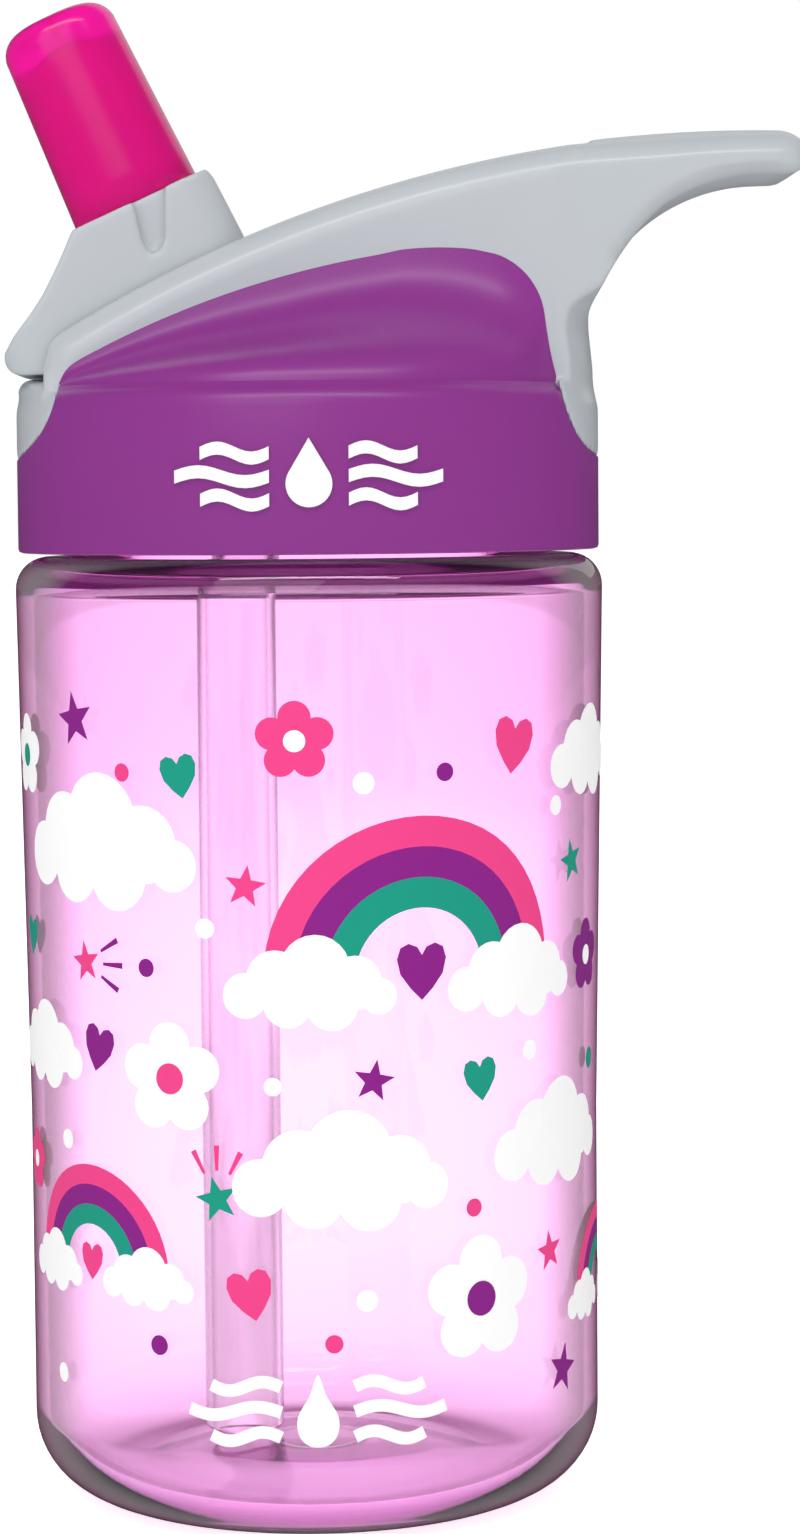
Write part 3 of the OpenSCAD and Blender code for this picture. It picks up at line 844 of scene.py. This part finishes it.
def inkStar(colour, s, z, r, spin):
    points = []
    for i in range(10):
        t = math.radians(90 + spin + 36 * i)
        size = r if i % 2 == 0 else r * 0.42
        points.append((s + size * math.cos(t), z + size * math.sin(t)))
    inkShape(colour, points)


def inkHeart(colour, s, z, w, lean):
    half = [(0, -0.62), (0.24, -0.38), (0.45, -0.1), (0.52, 0.2), (0.45, 0.42), (0.28, 0.5), (0.1, 0.43),
            (0, 0.27)]
    points = half + [(-x, y) for x, y in half[-2:0:-1]]
    c, k = math.cos(math.radians(lean)), math.sin(math.radians(lean))
    inkShape(colour, [(s + w * (x * c - y * k), z + w * (x * k + y * c)) for x, y in points])


def inkRays(colour, s, z, near, far, angles, width=0.6):
    for angle in angles:
        c, k = math.cos(math.radians(angle)), math.sin(math.radians(angle))
        inkShape(colour, [(s + near * c + width * 0.3 * k, z + near * k - width * 0.3 * c),
                          (s + far * c + width * k * 0.6, z + far * k - width * 0.6 * c),
                          (s + far * c - width * k * 0.6, z + far * k + width * 0.6 * c),
                          (s + near * c - width * 0.3 * k, z + near * k + width * 0.3 * c)])


def skyCloud(s, z, w):
    # a cloud w across: seven round puffs, each a film higher, so that no two lie in one face
    puffs = ((-0.42, -0.02, 0.15), (-0.22, 0.09, 0.19), (0.04, 0.15, 0.23), (0.3, 0.06, 0.18),
             (0.46, -0.03, 0.12), (-0.14, -0.07, 0.16), (0.15, -0.08, 0.17))
    for i, (along, up, r) in enumerate(puffs):
        inkDot("white", s + w * along, z + w * up, w * r, 3 + 0.5 * i)


def skyRainbow(s, z, r, band):
    # three half rings that stand on two clouds
    for i, colour in enumerate(("pink", "purple", "teal")):
        inkShape(colour, arc(s, z, r - band * i, 180, 0, 28) + arc(s, z, r - band * (i + 1), 0, 180, 28))
    for side in (-1, 1):
        skyCloud(s + side * (r - band * 1.5), z - band * 0.4, band * 5)


def skyFlower(petals, middle, s, z, r):
    for i in range(5):
        t = math.radians(90 + 72 * i)
        inkDot(petals, s + r * 0.6 * math.cos(t), z + r * 0.6 * math.sin(t), r * 0.42, 0.5 * i)
    inkDot(middle, s, z, r * 0.28, 4)


def skyShapes():
    for s, z, r, band in ((13.0, 68.0, 19.0, 3.6), (-31.0, 32.0, 12.5, 2.4), (50.0, 26.0, 10.0, 2.0)):
        skyRainbow(s, z, r, band)
    for s, z, w in ((-29.0, 82.0, 26.0), (43.0, 92.0, 18.0), (-42.0, 57.0, 17.0), (35.0, 46.0, 21.0),
                    (3.0, 44.0, 23.0)):
        skyCloud(s, z, w)
    flowers = (("white", "pink", -18.0, 56.0, 6.6), ("pink", "white", -2.0, 96.0, 4.6),
               ("white", "purple", 21.0, 29.0, 7.5), ("white", "teal", -46.0, 93.0, 5.0),
               ("purple", "white", 43.0, 68.0, 4.4), ("pink", "white", -47.0, 43.0, 3.8))
    for petals, middle, s, z, r in flowers:
        skyFlower(petals, middle, s, z, r)
    hearts = (("teal", -16.0, 92.0, 4.6, 10), ("pink", 26.0, 95.0, 6.0, -8),
              ("purple", -29.0, 59.0, 5.0, -12), ("teal", 21.0, 55.5, 4.6, 6), ("pink", -8.0, 31.0, 5.4, 12),
              ("purple", 13.0, 69.0, 6.0, 0), ("teal", -46.0, 71.0, 4.2, -6), ("pink", -31.0, 33.0, 4.0, 0))
    for colour, s, z, w, lean in hearts:
        inkHeart(colour, s, z, w, lean)
    stars = (("purple", -32.0, 98.0, 3.4, 10), ("pink", -8.0, 79.0, 2.6, -8), ("teal", 38.0, 80.0, 2.8, 12),
             ("purple", 7.0, 56.0, 2.6, -10), ("teal", -12.0, 42.0, 2.8, 14), ("pink", 33.0, 33.0, 2.6, 6),
             ("purple", 36.0, 18.0, 3.2, -12), ("pink", -31.0, 69.0, 2.6, 8))
    for colour, s, z, r, spin in stars:
        inkStar(colour, s, z, r, spin)
    inkRays("purple", -31.0, 69.0, 3.2, 6.4, (28, 0, -28))
    inkRays("pink", -12.0, 42.0, 3.4, 6.4, (118, 90, 62))
    dots = (("white", 6.0, 91.0, 1.3), ("pink", -24.0, 92.0, 1.1), ("white", 34.0, 87.0, 1.2),
            ("purple", 16.0, 92.0, 1.1), ("white", -13.0, 74.0, 1.2), ("white", -36.0, 47.0, 1.2),
            ("pink", 20.0, 40.0, 1.1), ("white", 6.0, 30.0, 1.3), ("purple", -20.0, 24.0, 1.2),
            ("white", 29.0, 58.0, 1.2), ("teal", 45.0, 55.0, 1.3), ("white", -38.0, 18.0, 1.2),
            ("pink", 2.0, 25.0, 1.1), ("white", -5.0, 55.5, 1.1), ("purple", -21.0, 69.0, 1.1))
    for colour, s, z, r in dots:
        inkDot(colour, s, z, r)


def lowEmblem():
    # three waves at each side of a drop
    for side in (-1, 1):
        for row in range(3):
            middle = 13.9 + 3.0 * row
            length = 11.4 if row == 1 else 8.6
            wave = []
            for i in range(13):
                wave.append((side * (4.4 + length * i / 12), middle + 0.6 * math.sin(math.tau * i / 12)))
            inkStroke("white", wave, 1.5)
    inkBlob("white", [(0, 21.4), (1.0, 18.9), (2.4, 16.4), (2.3, 14.2), (1.0, 12.9), (-1.0, 12.9),
                      (-2.3, 14.2), (-2.4, 16.4), (-1.0, 18.9)])


def wrapPrints():
    for colour, shapes in printShapes.items():
        pick(shapes[0])
        for shape in shapes:
            shape.select_set(True)
        bpy.ops.object.join()
        film = bpy.context.object
        film.name = "print" + colour.title()
        inEdit(film)
        bpy.ops.mesh.quads_convert_to_tris()
        for strip in range(-38, 39):       # cuts, so that the flat shapes can bend round the body
            bpy.ops.mesh.select_all(action="SELECT")
            bpy.ops.mesh.bisect(plane_co=(strip * printSet["strip"] * mm, 0, 0), plane_no=(1, 0, 0))
        bpy.ops.mesh.select_all(action="SELECT")
        bpy.ops.mesh.bisect(plane_co=(0, 0, bodySet["bandTop"] * mm), plane_no=(0, 0, 1))
        bpy.ops.object.mode_set(mode="OBJECT")
        for vertex in film.data.vertices:
            s, lift, z = vertex.co / mm
            r = bodyRadius(z) - lift
            t = s / printSet["rim"]
            vertex.co = Vector((r * math.sin(t), -r * math.cos(t), z)) * mm
        applied(film, "SOLIDIFY", thickness=printSet["film"] * mm, offset=-1)
        finishPiece(film, inks[colour], "bottle", "tinted_copolyester")
        print("print", colour, len(film.data.polygons))


skyShapes()
lowEmblem()
wrapPrints()

nodeLooks = {"inner_cap": innerPlastic, "cap_gasket": sealSilicone, "spout_seal": sealSilicone,
             "vent_valve": sealSilicone, "cap_badge": whitePlastic}
for nodeName, look in nodeLooks.items():
    slots = frame["nodes"][nodeName].data.materials
    slots.clear()
    slots.append(look)
